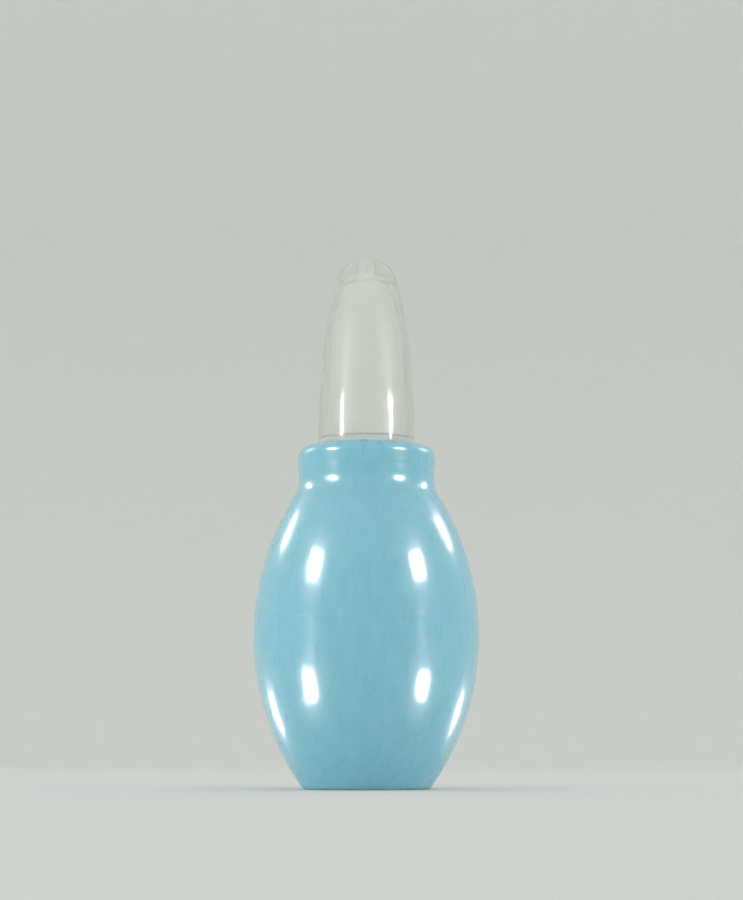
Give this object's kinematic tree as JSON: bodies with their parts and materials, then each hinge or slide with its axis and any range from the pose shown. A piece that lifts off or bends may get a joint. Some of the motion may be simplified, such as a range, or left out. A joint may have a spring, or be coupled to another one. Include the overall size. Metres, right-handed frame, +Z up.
{
  "type": "nasal aspirator",
  "caption": "Baby nasal aspirator: a soft squeeze bulb on a flat base, with a clear removable nozzle that is blunt, hollow and pierced at its tip.",
  "frame": {"origin": "centre of the flat base that the bulb stands on", "axes": "+Z up the axis of revolution to the nozzle's tip; the two press zones face -Y (front) and +Y (back)"},
  "size_m": [0.0364, 0.0364, 0.0861],
  "materials": {
    "soft_bulb": "satin, soft light-blue vinyl",
    "clear_nozzle": "glossy clear rigid plastic"
  },
  "bodies": {
    "bulb": {"bulb": "soft_bulb"},
    "press_front": {"press_zone_front": "soft_bulb"},
    "press_back": {"press_zone_back": "soft_bulb"},
    "nozzle": {"nozzle": "clear_nozzle"}
  },
  "joints": [
    {"name": "squeeze_front", "type": "slide", "parent": "bulb", "child": "press_front", "axis": [0, 1, 0], "range_m": [0, 0.006], "stiffness_N_per_m": 900},
    {"name": "squeeze_back", "type": "slide", "parent": "bulb", "child": "press_back", "axis": [0, -1, 0], "range_m": [0, 0.006], "stiffness_N_per_m": 900},
    {"name": "nozzle_pull", "type": "slide", "parent": "bulb", "child": "nozzle", "axis": [0, 0, 1], "range_m": [0, 0.02]}
  ],
  "couplings": [
    {"joint": "squeeze_back", "follows": "squeeze_front", "ratio": 1}
  ]
}
